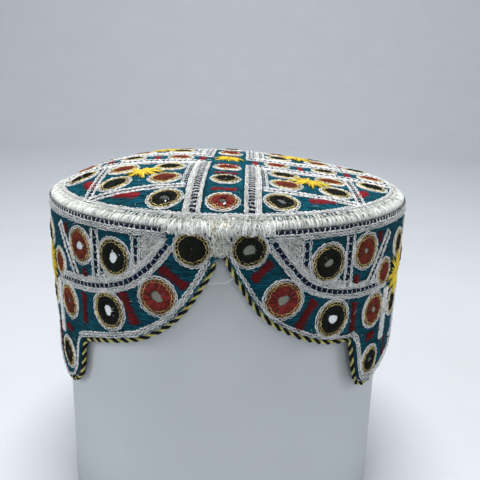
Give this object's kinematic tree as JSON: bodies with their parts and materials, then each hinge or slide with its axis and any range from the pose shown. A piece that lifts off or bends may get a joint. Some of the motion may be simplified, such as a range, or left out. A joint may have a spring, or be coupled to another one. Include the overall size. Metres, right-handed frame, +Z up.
{
  "type": "sindhi cap on a plain cylindrical stand",
  "caption": "Embroidered round cap with a shallow domed crown, scalloped side band, arched front notch and small bound mirrors, resting on a plain open cylinder.",
  "frame": {"origin": "centre of the part's footprint on the surface it stands on", "axes": "+Z up, -Y towards the cap's notched front, +X to the right of someone facing the front"},
  "size_m": [0.1855, 0.1859, 0.1805],
  "materials": {
    "teal_cloth": "matte embroidered cotton",
    "white_yarn": "matte overcast yarn",
    "hem_twist": "two-ply black and yellow twist",
    "cream_thread": "wrapped thread",
    "black_thread": "satin thread with a small mirror",
    "red_thread": "satin thread with a small mirror",
    "rust_thread": "satin thread with a small mirror",
    "yellow_thread": "satin thread",
    "stand_white": "smooth matte white"
  },
  "bodies": {
    "root": {"band_rosette_apex_left": "black_thread", "band_rosette_apex_right": "black_thread", "band_rosette_back_lower_1": "black_thread", "band_rosette_back_lower_2": "rust_thread", "band_rosette_back_lower_3": "black_thread", "band_rosette_back_lower_4": "rust_thread", "band_rosette_back_lower_5": "black_thread", "band_rosette_back_lower_6": "rust_thread", "band_rosette_back_upper_1": "black_thread", "band_rosette_back_upper_2": "rust_thread", "band_rosette_back_upper_3": "black_thread", "band_rosette_back_upper_4": "rust_thread", "band_rosette_back_upper_5": "black_thread", "band_rosette_back_upper_6": "rust_thread", "band_rosette_back_upper_7": "black_thread", "band_rosette_lower_black_left": "black_thread", "band_rosette_lower_black_right": "black_thread", "band_rosette_lower_rust_left": "rust_thread", "band_rosette_lower_rust_right": "rust_thread", "band_rosette_scallop_left": "red_thread", "band_rosette_scallop_right": "red_thread", "band_rosette_tip_left": "black_thread", "band_rosette_tip_right": "black_thread", "band_rosette_upper_black_left": "black_thread", "band_rosette_upper_black_right": "black_thread", "band_rosette_upper_rust_left": "rust_thread", "band_rosette_upper_rust_right": "rust_thread", "centre_star": "yellow_thread", "crown_edge_roll": "white_yarn", "crown_medallion_1": "yellow_thread", "crown_medallion_2": "yellow_thread", "crown_medallion_3": "yellow_thread", "crown_medallion_4": "yellow_thread", "crown_panel": "teal_cloth", "crown_rosette_back_inner": "red_thread", "crown_rosette_back_middle": "black_thread", "crown_rosette_back_outer": "red_thread", "crown_rosette_front_inner": "red_thread", "crown_rosette_front_middle": "black_thread", "crown_rosette_front_outer": "red_thread", "crown_rosette_left_inner": "red_thread", "crown_rosette_left_middle": "black_thread", "crown_rosette_left_outer": "red_thread", "crown_rosette_right_inner": "red_thread", "crown_rosette_right_middle": "black_thread", "crown_rosette_right_outer": "red_thread", "crown_rosette_rim_1": "black_thread", "crown_rosette_rim_2": "black_thread", "crown_rosette_rim_3": "black_thread", "crown_rosette_rim_4": "black_thread", "crown_rosette_rim_5": "black_thread", "crown_rosette_rim_6": "black_thread", "crown_rosette_rim_7": "black_thread", "crown_rosette_rim_8": "black_thread", "display_stand": "stand_white", "front_bar_tack": "cream_thread", "hem_cord": "hem_twist", "side_band": "teal_cloth", "side_medallion_left": "yellow_thread", "side_medallion_right": "yellow_thread"}
  },
  "joints": []
}
